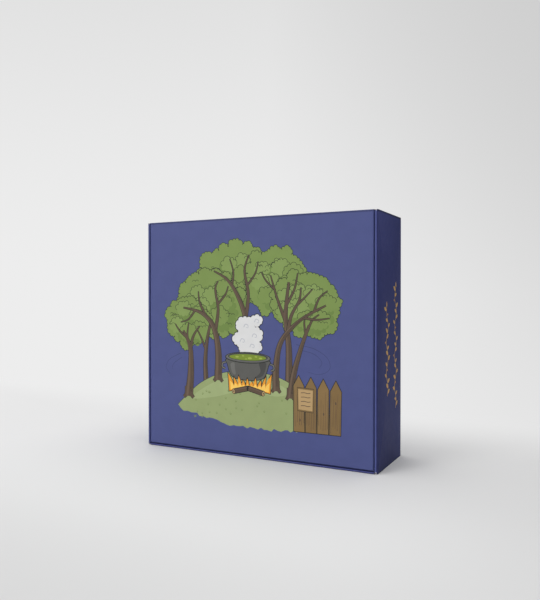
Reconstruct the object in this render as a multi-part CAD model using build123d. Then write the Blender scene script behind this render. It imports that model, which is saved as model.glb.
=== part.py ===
"""A board game box: a die-cut micro-corrugated folding box that stands on its bottom wall.

One blank folds into the whole box, and each panel between two creases is a sub-part of its own.
The front is the lid. It hinges on a crease along the top wall, and its tuck flap and two dust
flaps slide inside the walls. The side walls roll over at the front around the tabs of the top
and bottom walls, and the bottom wall is folded flat on itself. Inside are a card insert and a
plain family game: a folded board, a rulebook, two decks, pawns, dice and counters.

X runs along the front, Y from the front (lid) to the back, Z up. The origin is at the middle of
the footprint, on the surface that the box stands on. All sizes are in millimetres.
"""
from build123d import *
import os

os.makedirs("parts", exist_ok=True)

# ---- Box: driving dimensions -------------------------------------------------------------------
BOX_WIDTH = 300.0
BOX_HEIGHT = 280.0
BOX_DEPTH = 92.0
BOARD = 1.1  # thickness of the folded micro-corrugated board
BACK_CORNER_RADIUS = 4.0  # cut corners of the side walls
FRONT_FOOT_RADIUS = 3.3
FRONT_TOP_RADIUS = 2.0
LOCK_TAB_LENGTH = 36.0
LOCK_TAB_SPACING = 120.0
LOCK_SLOT_PLAY = 0.6  # how much longer the slot is than its tab, at each end
WALL_TAB_REACH = 74.0  # how far the trapped tabs run along the side walls
WALL_TAB_RADIUS = 9.0
PANEL_PLAY = 0.15  # between a trapped or rolled panel's edge and the fold beside it

# ---- Lid and its flaps ---------------------------------------------------------------------------
LID_GAP = 0.4  # between the lid's side edges and the side walls
CREASE_PLAY = 0.1  # between a hinge crease and the panels that it joins
TUCK_DEPTH = 28.0
TUCK_GAP = 1.0  # under the tuck flap, so that it clears the bottom wall on its way out
TUCK_INSET = 2.8  # between the tuck flap's ends and the lid's side edges
TUCK_CORNER_RADIUS = 9.0
DUST_FLAP_DEPTH = 36.0
DUST_FLAP_TAPER = 13.0
DUST_FLAP_INSET = 2.0
DUST_FLAP_RADIUS = 9.0

# ---- Insert --------------------------------------------------------------------------------------
INSERT_CARD = 1.5
INSERT_CLEARANCE = 0.4  # to the flaps and the top wall
LID_CLEARANCE = 1.0  # between the insert's front edges and the closed lid
SPARE_WELL_DEPTH = 54.0
CARD_HEADROOM = 3.0  # above a deck in its well
CARD_SETBACK = 5.6  # in front of a deck in its well
FINGER_SPACE = 7.9  # beside a deck in its well
COUNTER_HEADROOM = 18.0
COUNTER_SETBACK = 12.0
COUNTER_SIDE_PLAY = 3.0
PAWN_HEADROOM = 17.0
PAWN_SETBACK = 16.0
PAWN_SIDE_PLAY = 0.8

# ---- Game board and rulebook ---------------------------------------------------------------------
LEAF_THICKNESS = 2.0
LEAF_COUNT = 4
LEAF_PLAY = 1.2  # between the folded board and the walls of its bay
LEAF_HEADROOM = 5.0
TAPE_THICKNESS = 0.3
BOOK_THICKNESS = 1.8
BOOK_COVER = 0.3
BOOK_MARGIN = 7.0
STAPLE_LENGTH = 12.0
STAPLE_WIRE = 0.5

# ---- Loose components ----------------------------------------------------------------------------
CARD_LONG = 88.0
CARD_SHORT = 63.0
CARD_CORNER_RADIUS = 3.0
DECK_THICKNESS = 18.0
BAND_WIDTH = 16.0
BAND_PAPER = 0.2
PAWN_BASE_RADIUS = 6.0
PAWN_BASE_HEIGHT = 3.0
PAWN_HEIGHT = 28.0
PAWN_NECK_RADIUS = 2.4
PAWN_HEAD_RADIUS = 4.4
PAWN_COLOURS = ("red", "yellow", "green", "blue")
PAWNS_PER_COLOUR = 2
DICE_COUNT = 2
DIE_SIZE = 16.0
DIE_EDGE_RADIUS = 1.6
PIP_RADIUS = 1.5
PIP_DEPTH = 0.5
PIP_SPACING = 4.2
COUNTER_RADIUS = 11.0
COUNTER_THICKNESS = 3.0
COUNTERS_PER_STACK = 6
COUNTER_STACKS = 2
SEAT_GAP = 0.1  # under a round piece that rests on its rim

# ---- Worked out from the sizes above -------------------------------------------------------------
HALF_WIDTH = BOX_WIDTH / 2
FRONT = -BOX_DEPTH / 2
BACK = BOX_DEPTH / 2
SIDE_WALL = 3 * BOARD  # outer panel, trapped tab and inner panel
BOTTOM_WALL = 2 * BOARD
ROLL_INNER = BOARD / 2  # inside radius of a fold that goes round one trapped board
ROLL = ROLL_INNER + BOARD
CREASE_INNER = BOARD  # inside radius of the creases round the back panel
CREASE = CREASE_INNER + BOARD
INNER_X = HALF_WIDTH - SIDE_WALL
INNER_BACK = BACK - BOARD
INNER_TOP = BOX_HEIGHT - BOARD
TAB_FOLD_X = HALF_WIDTH - BOARD - ROLL  # where the top and bottom walls turn into their tabs
TAB_FRONT = FRONT + ROLL + ROLL_INNER  # the tabs stop short of the side walls' front rolls
TAB_BACK = BACK - CREASE - PANEL_PLAY

LID_HALF_WIDTH = INNER_X - LID_GAP
LID_INNER = FRONT + BOARD
HINGE_RADIUS = BOARD / 2  # the lid turns about the middle of the board
HINGE_REACH = HINGE_RADIUS + CREASE_PLAY
HINGE_Y = FRONT + HINGE_RADIUS
HINGE_Z = BOX_HEIGHT - HINGE_RADIUS
TUCK_TOP = BOTTOM_WALL + TUCK_GAP + BOARD  # the tuck flap turns about its inner corner
LID_LOW = TUCK_TOP + CREASE_PLAY
LID_HIGH = HINGE_Z - HINGE_REACH

INSERT_FRONT = LID_INNER + LID_CLEARANCE
INSERT_HALF_WIDTH = LID_HALF_WIDTH - BOARD - INSERT_CLEARANCE
INSERT_LOW = TUCK_TOP + INSERT_CLEARANCE
INSERT_HIGH = BOX_HEIGHT - CREASE - INSERT_CLEARANCE
BAY_LOW = INSERT_LOW + INSERT_CARD
BAY_HIGH = INSERT_HIGH - INSERT_CARD
BAY_LEFT = -INSERT_HALF_WIDTH + INSERT_CARD
BAY_RIGHT = INSERT_HALF_WIDTH - INSERT_CARD

PAWN_COUNT = len(PAWN_COLOURS) * PAWNS_PER_COLOUR
COUNTER_ROW = COUNTER_STACKS + DICE_COUNT  # things side by side in the counter well
COUNTER_ROW_SIZE = max(2 * COUNTER_RADIUS, DIE_SIZE)
WELLS_WIDTH = max(
    CARD_LONG + 2 * FINGER_SPACE,
    PAWN_COUNT * (2 * PAWN_BASE_RADIUS + PAWN_SIDE_PLAY),
    COUNTER_ROW * (COUNTER_ROW_SIZE + COUNTER_SIDE_PLAY),
)
WELLS_LEFT = BAY_RIGHT - WELLS_WIDTH
BOARD_BAY_RIGHT = WELLS_LEFT - INSERT_CARD
CARD_WELL_HEIGHT = CARD_SHORT + CARD_HEADROOM
CARD_WELL_DEPTH = DECK_THICKNESS + 2 * BAND_PAPER + CARD_SETBACK
COUNTER_WELL_HEIGHT = COUNTER_ROW_SIZE + COUNTER_HEADROOM
COUNTER_WELL_DEPTH = max(COUNTERS_PER_STACK * COUNTER_THICKNESS, DIE_SIZE) + COUNTER_SETBACK
PAWN_WELL_HEIGHT = PAWN_HEIGHT + PAWN_HEADROOM
PAWN_WELL_DEPTH = 2 * PAWN_BASE_RADIUS + PAWN_SETBACK

BOOK_FRONT = INSERT_FRONT
LEAVES_FRONT = BOOK_FRONT + BOOK_THICKNESS
PLATFORM_FRONT = LEAVES_FRONT + LEAF_COUNT * LEAF_THICKNESS
LEAF_LEFT = BAY_LEFT + LEAF_PLAY
LEAF_RIGHT = BOARD_BAY_RIGHT - LEAF_PLAY
LEAF_TOP = BAY_HIGH - LEAF_HEADROOM

DIRECTIONS = {"x": (1, 0, 0), "y": (0, 1, 0), "z": (0, 0, 1)}


# ---- Building blocks -----------------------------------------------------------------------------
def span(first, second):
    """The two places in rising order."""
    return min(first, second), max(first, second)


def block(x, y, z):
    """A plain cuboid, from the (low, high) pair of each axis."""
    size = [high - low for low, high in (x, y, z)]
    middle = [(low + high) / 2 for low, high in (x, y, z)]
    return Pos(*middle) * Box(*size)


def plate(axis, outline, thickness):
    """A flat panel across the axis, from (a, b, corner radius) points in the two other axes."""
    low, high = thickness
    place = {
        "x": lambda a, b: (low, a, b),
        "y": lambda a, b: (a, low, b),
        "z": lambda a, b: (a, b, low),
    }[axis]
    points = [place(a, b) for a, b, radius in outline]
    radii = [radius for a, b, radius in outline]
    edge = FilletPolyline(*points, radius=radii, close=True)
    return extrude(make_face(edge.edges()), amount=high - low, dir=DIRECTIONS[axis])


def fold(axis, centre, towards, length, inner):
    """A quarter-round fold of the board along the axis, in the quadrant that towards points to."""
    low, high = length
    outer = inner + BOARD
    ring = Cylinder(outer, high - low)
    if inner > 0:
        ring -= Cylinder(inner, high - low)
    a, b = centre
    reach_a = span(a, a + towards[0] * outer)
    reach_b = span(b, b + towards[1] * outer)
    middle = (low + high) / 2
    if axis == "x":
        return (Pos(middle, a, b) * Rot(0, 90, 0) * ring) & block(length, reach_a, reach_b)
    if axis == "y":
        return (Pos(a, middle, b) * Rot(90, 0, 0) * ring) & block(reach_a, length, reach_b)
    return (Pos(a, b, middle) * ring) & block(reach_a, reach_b, length)


def lock_tab_spans(middle):
    """Where the two lock tabs of a rolled-over panel lie along its edge."""
    for side in (-1, 1):
        centre = middle + side * LOCK_TAB_SPACING / 2
        yield centre - LOCK_TAB_LENGTH / 2, centre + LOCK_TAB_LENGTH / 2


def slot_span(tab):
    """The slot that a lock tab goes through, a little longer than the tab."""
    return tab[0] - LOCK_SLOT_PLAY, tab[1] + LOCK_SLOT_PLAY


# ---- The box -------------------------------------------------------------------------------------
def back_panel():
    """The base of the blank, with slots along its side edges for the side walls' lock tabs."""
    half = HALF_WIDTH - CREASE
    panel = block((-half, half), (INNER_BACK, BACK), (CREASE, BOX_HEIGHT - CREASE))
    for side in (-1, 1):
        for tab in lock_tab_spans(BOX_HEIGHT / 2):
            across = span(side * INNER_X, side * half)
            panel -= block(across, (INNER_BACK, BACK), slot_span(tab))
    return panel


def top_wall():
    """The wall that the lid hinges on, creased to the back panel."""
    levels = (INNER_TOP, BOX_HEIGHT)
    sheet = block((-TAB_FOLD_X, TAB_FOLD_X), (TAB_FRONT, BACK - CREASE), levels)
    sheet += block((-LID_HALF_WIDTH, LID_HALF_WIDTH), (HINGE_Y + HINGE_REACH, TAB_FRONT), levels)
    corner = (BACK - CREASE, BOX_HEIGHT - CREASE)
    return sheet + fold("x", corner, (1, 1), (-TAB_FOLD_X, TAB_FOLD_X), CREASE_INNER)


def bottom_wall_outer():
    """The wall that the box stands on, folded over at the front and creased to the back panel."""
    wide = (-TAB_FOLD_X, TAB_FOLD_X)
    narrow = (-LID_HALF_WIDTH, LID_HALF_WIDTH)
    sheet = block(wide, (TAB_FRONT, BACK - CREASE), (0, BOARD))
    sheet += block(narrow, (FRONT + BOARD, TAB_FRONT), (0, BOARD))
    sheet += fold("x", (FRONT + BOARD, BOARD), (-1, -1), narrow, 0)
    sheet += fold("x", (BACK - CREASE, CREASE), (1, -1), wide, CREASE_INNER)
    for tab in lock_tab_spans(0):
        sheet -= block(slot_span(tab), (BACK - CREASE, BACK), (BOARD, CREASE))
    return sheet


def bottom_wall_inner():
    """The bottom wall's second layer, with lock tabs that pass through the back crease."""
    across = (-LID_HALF_WIDTH, LID_HALF_WIDTH)
    sheet = block(across, (FRONT + BOARD, TAB_BACK), (BOARD, BOTTOM_WALL))
    sheet += fold("x", (FRONT + BOARD, BOARD), (-1, 1), across, 0)
    for tab in lock_tab_spans(0):
        sheet += block(tab, (TAB_BACK, BACK), (BOARD, BOTTOM_WALL))
    return sheet


def wall_tab(side, end):
    """A tab of the top (end 1) or bottom (end -1) wall, folded into a side wall and trapped."""
    fold_z = BOX_HEIGHT - ROLL if end > 0 else ROLL
    reach = end * WALL_TAB_REACH
    across = span(side * (INNER_X + BOARD), side * (HALF_WIDTH - BOARD))
    outline = [
        (TAB_FRONT, fold_z, 0),
        (TAB_BACK, fold_z, 0),
        (TAB_BACK, fold_z - reach, WALL_TAB_RADIUS),
        (TAB_FRONT, fold_z - reach, WALL_TAB_RADIUS),
    ]
    fold_line = (TAB_FRONT, TAB_BACK)
    bend = fold("y", (side * TAB_FOLD_X, fold_z), (side, end), fold_line, ROLL_INNER)
    return bend + plate("x", outline, across)


def side_wall_outer(side):
    """A side wall's printed panel, with half of its front roll and its crease to the back panel."""
    across = span(side * (HALF_WIDTH - BOARD), side * HALF_WIDTH)
    sheet = block(across, (FRONT + ROLL, BACK - CREASE), (0, BOX_HEIGHT))
    roll_centre = (side * (HALF_WIDTH - ROLL), FRONT + ROLL)
    sheet += fold("z", roll_centre, (side, -1), (0, BOX_HEIGHT), ROLL_INNER)
    crease_centre = (side * (HALF_WIDTH - CREASE), BACK - CREASE)
    height = (CREASE, BOX_HEIGHT - CREASE)
    sheet += fold("z", crease_centre, (side, 1), height, CREASE_INNER)
    return sheet & side_outline(side)


def side_wall_inner(side):
    """A side wall's rolled-over panel, locked into the back panel by two tabs."""
    across = span(side * INNER_X, side * (INNER_X + BOARD))
    height = (CREASE + PANEL_PLAY, BOX_HEIGHT - CREASE - PANEL_PLAY)
    sheet = block(across, (FRONT + ROLL, INNER_BACK), height)
    roll_centre = (side * (HALF_WIDTH - ROLL), FRONT + ROLL)
    sheet += fold("z", roll_centre, (-side, -1), (0, BOX_HEIGHT), ROLL_INNER)
    for tab in lock_tab_spans(BOX_HEIGHT / 2):
        sheet += block(across, (INNER_BACK, BACK), tab)
    return sheet & side_outline(side)


def side_outline(side):
    """The side wall's cut outline as a thick blank, which trims the ends of its folds."""
    outline = [
        (FRONT, 0, FRONT_FOOT_RADIUS),
        (BACK, 0, BACK_CORNER_RADIUS),
        (BACK, BOX_HEIGHT, BACK_CORNER_RADIUS),
        (FRONT, BOX_HEIGHT, FRONT_TOP_RADIUS),
    ]
    return plate("x", outline, span(side * (INNER_X - BOARD), side * (HALF_WIDTH + BOARD)))


# ---- The lid -------------------------------------------------------------------------------------
def lid_panel():
    """The large front panel, between the creases of its four flaps and of the top wall."""
    half = LID_HALF_WIDTH - ROLL
    return block((-half, half), (FRONT, LID_INNER), (LID_LOW, LID_HIGH))


def dust_flap(side):
    """A tapered flap that folds back from the lid's side edge and slides inside the side wall."""
    centre = (side * (LID_HALF_WIDTH - ROLL), FRONT + ROLL)
    bend = fold("z", centre, (side, -1), (LID_LOW, LID_HIGH), ROLL_INNER)
    across = span(side * (LID_HALF_WIDTH - BOARD), side * LID_HALF_WIDTH)
    root = FRONT + ROLL
    end = root + DUST_FLAP_DEPTH
    low = LID_LOW + DUST_FLAP_INSET
    high = LID_HIGH - DUST_FLAP_INSET
    outline = [
        (root, low, 0),
        (end, low + DUST_FLAP_TAPER, DUST_FLAP_RADIUS),
        (end, high - DUST_FLAP_TAPER, DUST_FLAP_RADIUS),
        (root, high, 0),
    ]
    return bend + plate("x", outline, across)


def lid_hinge_crease():
    """The crease between the top wall and the lid, as a slim rod on the joint's axis."""
    length = 2 * (LID_HALF_WIDTH - ROLL)
    return Pos(0, HINGE_Y, HINGE_Z) * Rot(0, 90, 0) * Cylinder(HINGE_RADIUS, length)


def tuck_crease():
    """The rounded fold along the lid's free edge, about the inner corner that the flap turns on."""
    half = LID_HALF_WIDTH - ROLL
    return fold("x", (LID_INNER, TUCK_TOP), (-1, -1), (-half, half), 0)


def tuck_flap():
    """The flap along the lid's free edge, which tucks in above the bottom wall."""
    half = LID_HALF_WIDTH - TUCK_INSET
    front = LID_INNER + CREASE_PLAY
    outline = [
        (-half, front, 0),
        (half, front, 0),
        (half, front + TUCK_DEPTH, TUCK_CORNER_RADIUS),
        (-half, front + TUCK_DEPTH, TUCK_CORNER_RADIUS),
    ]
    return plate("z", outline, (TUCK_TOP - BOARD, TUCK_TOP))


# ---- The insert ----------------------------------------------------------------------------------
def insert_frame():
    """The insert's outer frame, its divider and the platform behind the game board."""
    half = INSERT_HALF_WIDTH
    deep = (INSERT_FRONT, INNER_BACK)
    tall = (BAY_LOW, BAY_HIGH)
    platform = (PLATFORM_FRONT, PLATFORM_FRONT + INSERT_CARD)
    return {
        "insert_bottom": block((-half, half), deep, (INSERT_LOW, BAY_LOW)),
        "insert_top": block((-half, half), deep, (BAY_HIGH, INSERT_HIGH)),
        "insert_left_side": block((-half, BAY_LEFT), deep, tall),
        "insert_right_side": block((BAY_RIGHT, half), deep, tall),
        "insert_divider": block((BOARD_BAY_RIGHT, WELLS_LEFT), deep, tall),
        "insert_platform": block((BAY_LEFT, BOARD_BAY_RIGHT), platform, tall),
    }


def well_plan():
    """Each well's name, height range and depth, from the bottom up. The spare one takes the rest."""
    plan = []
    low = BAY_LOW
    fixed = (
        ("lower_card", CARD_WELL_HEIGHT, CARD_WELL_DEPTH),
        ("upper_card", CARD_WELL_HEIGHT, CARD_WELL_DEPTH),
        ("counter", COUNTER_WELL_HEIGHT, COUNTER_WELL_DEPTH),
        ("pawn", PAWN_WELL_HEIGHT, PAWN_WELL_DEPTH),
    )
    for name, height, depth in fixed:
        plan.append((name, low, low + height, depth))
        low += height + INSERT_CARD
    plan.append(("spare", low, BAY_HIGH, SPARE_WELL_DEPTH))
    return plan


def insert_wells():
    """The floor of each well and the shelves between the wells, in the right-hand bay."""
    bay = (WELLS_LEFT, BAY_RIGHT)
    found = {}
    for name, low, high, depth in well_plan():
        floor = INSERT_FRONT + depth
        found[f"insert_{name}_floor"] = block(bay, (floor, floor + INSERT_CARD), (low, high))
        if high < BAY_HIGH:
            shelf = (high, high + INSERT_CARD)
            found[f"insert_{name}_shelf"] = block(bay, (INSERT_FRONT, INNER_BACK), shelf)
    return found


# ---- Game board and rulebook ---------------------------------------------------------------------
def game_board():
    """Four leaves stacked concertina-wise, and the cloth tapes that hinge each to the next."""
    across = (LEAF_LEFT, LEAF_RIGHT)
    tall = (BAY_LOW, LEAF_TOP)
    found = {}
    tapes = []
    for leaf in range(LEAF_COUNT):
        front = LEAVES_FRONT + leaf * LEAF_THICKNESS
        found[f"game_board_leaf_{leaf + 1}"] = block(across, (front, front + LEAF_THICKNESS), tall)
    for joint in range(LEAF_COUNT - 1):
        front = LEAVES_FRONT + joint * LEAF_THICKNESS
        edge = LEAF_LEFT - TAPE_THICKNESS if joint % 2 == 0 else LEAF_RIGHT
        pair = (front, front + 2 * LEAF_THICKNESS)
        tapes.append(block((edge, edge + TAPE_THICKNESS), pair, tall))
    found["game_board_tapes"] = Compound(children=tapes)
    return found


def rulebook():
    """A stapled booklet that stands in front of the game board, its spine to the left."""
    left = LEAF_LEFT + BOOK_MARGIN
    right = LEAF_RIGHT - BOOK_MARGIN
    low = BAY_LOW
    high = LEAF_TOP - 2 * BOOK_MARGIN
    back = BOOK_FRONT + BOOK_THICKNESS
    cover = block((left, right), (BOOK_FRONT, back), (low, high))
    inside = (BOOK_FRONT + BOOK_COVER, back - BOOK_COVER)
    pages = block((left + BOOK_COVER, right), inside, (low, high))
    cover -= pages
    middle = (BOOK_FRONT + back) / 2
    staples = [
        block(
            (left - STAPLE_WIRE, left),
            (middle - STAPLE_WIRE / 2, middle + STAPLE_WIRE / 2),
            (height - STAPLE_LENGTH / 2, height + STAPLE_LENGTH / 2),
        )
        for height in (low + (high - low) / 4, high - (high - low) / 4)
    ]
    return {
        "rulebook_cover": cover,
        "rulebook_pages": pages,
        "rulebook_staples": Compound(children=staples),
    }


# ---- Loose components ----------------------------------------------------------------------------
def card_deck(low, floor):
    """A deck on its long edge in its well, and the paper band round its middle."""
    middle = (WELLS_LEFT + BAY_RIGHT) / 2
    left = middle - CARD_LONG / 2
    back = floor - BAND_PAPER
    front = back - DECK_THICKNESS
    outline = [
        (left, low, CARD_CORNER_RADIUS),
        (left + CARD_LONG, low, CARD_CORNER_RADIUS),
        (left + CARD_LONG, low + CARD_SHORT, CARD_CORNER_RADIUS),
        (left, low + CARD_SHORT, CARD_CORNER_RADIUS),
    ]
    deck = plate("y", outline, (front, back))
    belt = (low + (CARD_SHORT - BAND_WIDTH) / 2, low + (CARD_SHORT + BAND_WIDTH) / 2)
    band = block(
        (left - BAND_PAPER, left + CARD_LONG + BAND_PAPER),
        (front - BAND_PAPER, back + BAND_PAPER),
        belt,
    )
    band -= block((left, left + CARD_LONG), (front, back), belt)
    return deck, band


def pawn(x, y, low):
    """A turned wooden pawn: a disc base, a tapering body and a ball head."""
    head = PAWN_HEIGHT - PAWN_HEAD_RADIUS
    body = head - PAWN_BASE_HEIGHT
    base = Pos(0, 0, PAWN_BASE_HEIGHT / 2) * Cylinder(PAWN_BASE_RADIUS, PAWN_BASE_HEIGHT)
    cone = Cone(PAWN_BASE_RADIUS - 1, PAWN_NECK_RADIUS, body)
    taper = Pos(0, 0, PAWN_BASE_HEIGHT + body / 2) * cone
    ball = Pos(0, 0, head) * Sphere(PAWN_HEAD_RADIUS)
    return Pos(x, y, low) * (base + taper + ball)


def pawns(low, floor):
    """Two pawns of each colour, in one row on the pawn well's shelf."""
    pitch = WELLS_WIDTH / PAWN_COUNT
    middle = (INSERT_FRONT + floor) / 2
    found = {}
    for number, colour in enumerate(PAWN_COLOURS):
        first = number * PAWNS_PER_COLOUR
        places = [WELLS_LEFT + (first + step + 0.5) * pitch for step in range(PAWNS_PER_COLOUR)]
        found[f"pawns_{colour}"] = Compound(children=[pawn(x, middle, low) for x in places])
    return found


def pip_places(count):
    """The places of a die face's pips, in pip spacings from its middle."""
    corners = {
        1: [],
        2: [(-1, -1), (1, 1)],
        3: [(-1, -1), (1, 1)],
        4: [(-1, -1), (1, 1), (-1, 1), (1, -1)],
        5: [(-1, -1), (1, 1), (-1, 1), (1, -1)],
        6: [(-1, -1), (1, 1), (-1, 1), (1, -1), (-1, 0), (1, 0)],
    }[count]
    return corners + [(0, 0)] * (count % 2)


def die(x, y, low):
    """A rounded cube and its inlaid pips. Opposite faces add up to seven."""
    half = DIE_SIZE / 2
    cube = Box(DIE_SIZE, DIE_SIZE, DIE_SIZE)
    cube = fillet(cube.edges(), DIE_EDGE_RADIUS)
    turns = {
        1: Rot(90, 0, 0),
        6: Rot(-90, 0, 0),
        2: Rot(0, 0, 0),
        5: Rot(180, 0, 0),
        3: Rot(0, 90, 0),
        4: Rot(0, -90, 0),
    }
    pips = []
    for count, turn in turns.items():
        for a, b in pip_places(count):
            place = Pos(a * PIP_SPACING, b * PIP_SPACING, half - PIP_DEPTH / 2)
            pips.append(turn * place * Cylinder(PIP_RADIUS, PIP_DEPTH))
    for pip in pips:
        cube -= pip
    seat = Pos(x, y, low + half)
    return seat * cube, [seat * pip for pip in pips]


def counter_stack(x, front, low):
    """A row of wooden counters that stand on their rims, flat against each other."""
    centre = low + COUNTER_RADIUS + SEAT_GAP
    counters = []
    for number in range(COUNTERS_PER_STACK):
        middle = front + (number + 0.5) * COUNTER_THICKNESS
        disc = Cylinder(COUNTER_RADIUS, COUNTER_THICKNESS)
        counters.append(Pos(x, middle, centre) * Rot(90, 0, 0) * disc)
    return Compound(children=counters)


def counters_and_dice(low, floor):
    """The counter stacks and the dice, side by side in the counter well."""
    pitch = WELLS_WIDTH / COUNTER_ROW
    places = [WELLS_LEFT + (number + 0.5) * pitch for number in range(COUNTER_ROW)]
    found = {}
    for number in range(COUNTER_STACKS):
        front = floor - COUNTERS_PER_STACK * COUNTER_THICKNESS
        found[f"counter_stack_{number + 1}"] = counter_stack(places[number], front, low)
    all_pips = []
    for number in range(DICE_COUNT):
        body, pips = die(places[COUNTER_STACKS + number], floor - DIE_SIZE / 2, low)
        found[f"die_{number + 1}"] = body
        all_pips += pips
    found["dice_pips"] = Compound(children=all_pips)
    return found


def components():
    """Everything that lies in the wells."""
    wells = {name: (low, INSERT_FRONT + depth) for name, low, high, depth in well_plan()}
    found = {}
    for name in ("lower", "upper"):
        deck, band = card_deck(*wells[f"{name}_card"])
        found[f"{name}_card_deck"] = deck
        found[f"{name}_deck_band"] = band
    found.update(pawns(*wells["pawn"]))
    found.update(counters_and_dice(*wells["counter"]))
    return found


# ---- All nodes -----------------------------------------------------------------------------------
def all_parts():
    """Every node's name and shape."""
    parts = {
        "back_panel": back_panel(),
        "top_wall": top_wall(),
        "bottom_wall_outer": bottom_wall_outer(),
        "bottom_wall_inner": bottom_wall_inner(),
        "lid_panel": lid_panel(),
        "lid_hinge_crease": lid_hinge_crease(),
        "tuck_crease": tuck_crease(),
        "tuck_flap": tuck_flap(),
    }
    for name, side in (("left", -1), ("right", 1)):
        parts[f"{name}_wall_outer"] = side_wall_outer(side)
        parts[f"{name}_wall_inner"] = side_wall_inner(side)
        parts[f"top_wall_{name}_tab"] = wall_tab(side, 1)
        parts[f"bottom_wall_{name}_tab"] = wall_tab(side, -1)
        parts[f"lid_{name}_dust_flap"] = dust_flap(side)
    parts.update(insert_frame())
    parts.update(insert_wells())
    parts.update(game_board())
    parts.update(rulebook())
    parts.update(components())
    return parts


for node, shape in all_parts().items():
    export_step(shape, f"parts/{node}.step")
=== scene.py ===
"""The looks of the board game box: its printed board, its papers, woods and plastics, and the light.

Blender works in metres. Drawings on the panels are in millimetres, and MM turns one into the other.
"""

import math
import random

import bmesh
import bpy
from mathutils import Matrix, Vector
from mathutils.geometry import delaunay_2d_cdt

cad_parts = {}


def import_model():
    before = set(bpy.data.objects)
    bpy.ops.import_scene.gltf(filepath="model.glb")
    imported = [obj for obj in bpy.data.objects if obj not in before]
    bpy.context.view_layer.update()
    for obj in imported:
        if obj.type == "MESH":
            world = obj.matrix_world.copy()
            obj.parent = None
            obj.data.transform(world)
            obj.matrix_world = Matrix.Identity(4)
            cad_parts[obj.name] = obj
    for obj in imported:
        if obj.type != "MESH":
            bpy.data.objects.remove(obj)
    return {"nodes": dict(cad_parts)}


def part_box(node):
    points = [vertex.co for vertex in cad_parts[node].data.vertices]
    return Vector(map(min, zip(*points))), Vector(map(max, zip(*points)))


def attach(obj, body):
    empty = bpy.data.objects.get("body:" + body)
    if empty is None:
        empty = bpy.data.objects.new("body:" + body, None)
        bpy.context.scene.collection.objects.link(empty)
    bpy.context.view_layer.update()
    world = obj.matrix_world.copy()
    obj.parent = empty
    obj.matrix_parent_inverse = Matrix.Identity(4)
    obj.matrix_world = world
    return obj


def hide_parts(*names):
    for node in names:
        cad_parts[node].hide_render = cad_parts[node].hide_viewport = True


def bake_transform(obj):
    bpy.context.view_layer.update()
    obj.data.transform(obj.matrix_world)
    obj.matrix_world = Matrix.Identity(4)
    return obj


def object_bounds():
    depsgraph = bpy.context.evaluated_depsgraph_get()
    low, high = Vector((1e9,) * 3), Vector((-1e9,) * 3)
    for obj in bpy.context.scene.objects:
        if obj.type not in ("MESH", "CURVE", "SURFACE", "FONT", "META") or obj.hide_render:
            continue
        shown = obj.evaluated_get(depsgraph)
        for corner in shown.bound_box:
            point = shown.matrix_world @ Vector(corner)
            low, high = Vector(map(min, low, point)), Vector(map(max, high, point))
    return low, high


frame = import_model()
CAD_LOW, CAD_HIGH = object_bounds()
NODES = frame["nodes"]

MM = 0.001
UP = Vector((0, 0, 1))
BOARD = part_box("lid_panel")[1].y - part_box("lid_panel")[0].y  # thickness of the folded board
CREASE_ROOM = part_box("lid_panel")[0].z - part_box("tuck_flap")[1].z  # inner radius of a bend
FLUTE_PITCH = 2.4  # from wave to wave of the fluted medium, in millimetres
GRAIN_DEPTH = 0.03  # relief of the printed board, in millimetres
SATIN = 0.08  # specular level of the laminate
LINE = 0.7  # width of a drawn outline, in millimetres
WELD = 0.002  # corners of a cut face that are nearer than this become one, in millimetres
SHARP = math.radians(32)  # edges that bend more than this are shaded as corners


# ---- Colours ----
def linear(red, green, blue):
    """A colour given as 0 to 255 screen values, as Blender's linear one."""
    found = []
    for share in (red / 255, green / 255, blue / 255):
        found.append(share / 12.92 if share <= 0.04045 else ((share + 0.055) / 1.055) ** 2.4)
    return (*found, 1.0)


def scaled(colour, factor, lift=0.0):
    """A screen colour made lighter or darker, as a linear one."""
    return (*[min(1.0, part * factor + lift) for part in linear(*colour)[:3]], 1.0)


def below(colour, steps):
    """A screen colour made darker by some of its 255 steps."""
    return tuple(part - steps for part in colour)


NIGHT = (72, 79, 126)  # the box's ground colour
SHADED_UNDER_NIGHT = (66, 71, 122)  # painted shade: the bottom wall's print made darker, as if in the shade under the box
# Painted shade: the side walls' print made darker than the lid's, as the sides face away from the key light.
SHADED_SIDE_NIGHT = (66, 72, 127)
CREASE_SHADE_INK = (44, 48, 78)  # painted shade: dark blue along the box's edges and folds and on cut ends, where these lie in shade
LINER = (226, 224, 216)
MEDIUM = (150, 126, 96)
# Painted shade in the hollows between the flutes on a cut edge.
FLUTE_HOLE_SHADE = (62, 50, 38)
INKS = {
    "leaf": (114, 135, 74), "leaf_light": (121, 142, 81), "leaf_deep": (103, 125, 66),
    "bark": (88, 73, 61), "bark_light": (101, 85, 71), "line": (40, 42, 40),
    "grass": (139, 152, 104), "grass_light": (149, 162, 115), "grass_deep": (116, 131, 82),
    "fence": (120, 97, 63), "fence_light": (127, 103, 67), "sign": (172, 144, 102),
    "iron": (86, 86, 83), "iron_light": (102, 102, 99), "iron_deep": (68, 68, 67),
    "brew": (112, 132, 46), "brew_light": (146, 162, 74),
    "flame": (220, 148, 48), "flame_light": (234, 190, 92),
    "steam": (206, 206, 206), "steam_deep": (166, 168, 178), "swirl": (56, 60, 96),
    "gold": (226, 184, 112), "gold_deep": (172, 126, 62), "shade": (48, 50, 84), "cream": (224, 214, 186),
}

FLOOR = (227, 227, 227)
FLOOR_SHADE = (202, 202, 202)  # painted shade: the floor made darker in front and to the right, where the room is dimmer
FLOOR_BOUNCE = (202, 202, 202)  # the tone of the light that the floor throws back
BACKDROP = (237, 237, 237)
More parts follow.
